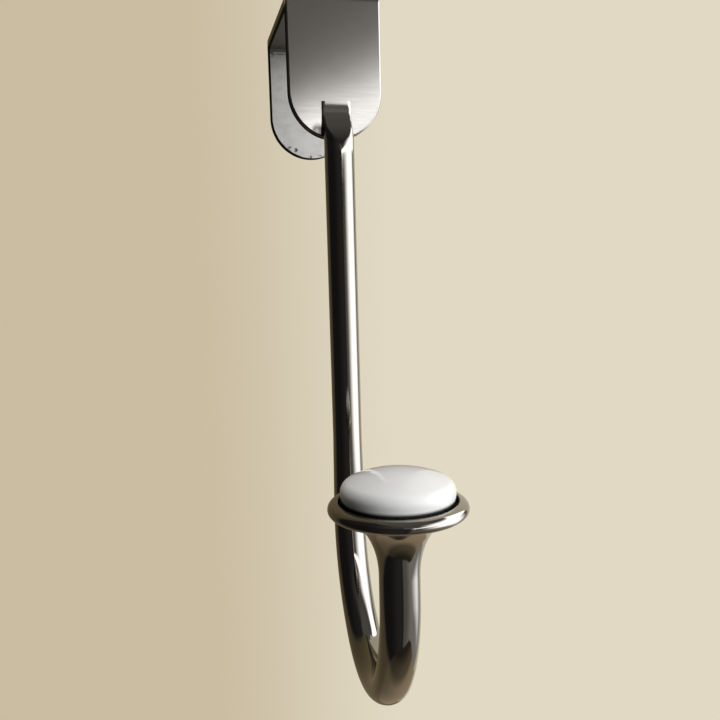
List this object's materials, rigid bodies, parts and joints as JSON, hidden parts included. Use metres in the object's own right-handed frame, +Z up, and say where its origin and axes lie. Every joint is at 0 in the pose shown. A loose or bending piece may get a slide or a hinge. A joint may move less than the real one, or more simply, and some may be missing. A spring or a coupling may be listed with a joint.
{
  "type": "over-the-door hook",
  "caption": "Over-the-door hook: a flat strap folded over a door's top edge, a tapered round hook with a flared trumpet end, and a domed ceramic cap.",
  "frame": {"origin": "middle of the underside of the strap's bridge, where it sits on the top edge of a door", "axes": "+Z up, -Y out into the room towards the hook, X across the strap"},
  "size_m": [0.0306, 0.1168, 0.1781],
  "materials": {
    "satin_metal": "fine satin",
    "polished_metal": "bright polished, slightly warm",
    "white_glaze": "glossy white glaze"
  },
  "bodies": {
    "root": {"door_strap": "satin_metal", "hook_rod": "polished_metal", "ceramic_cap": "white_glaze"}
  },
  "joints": []
}
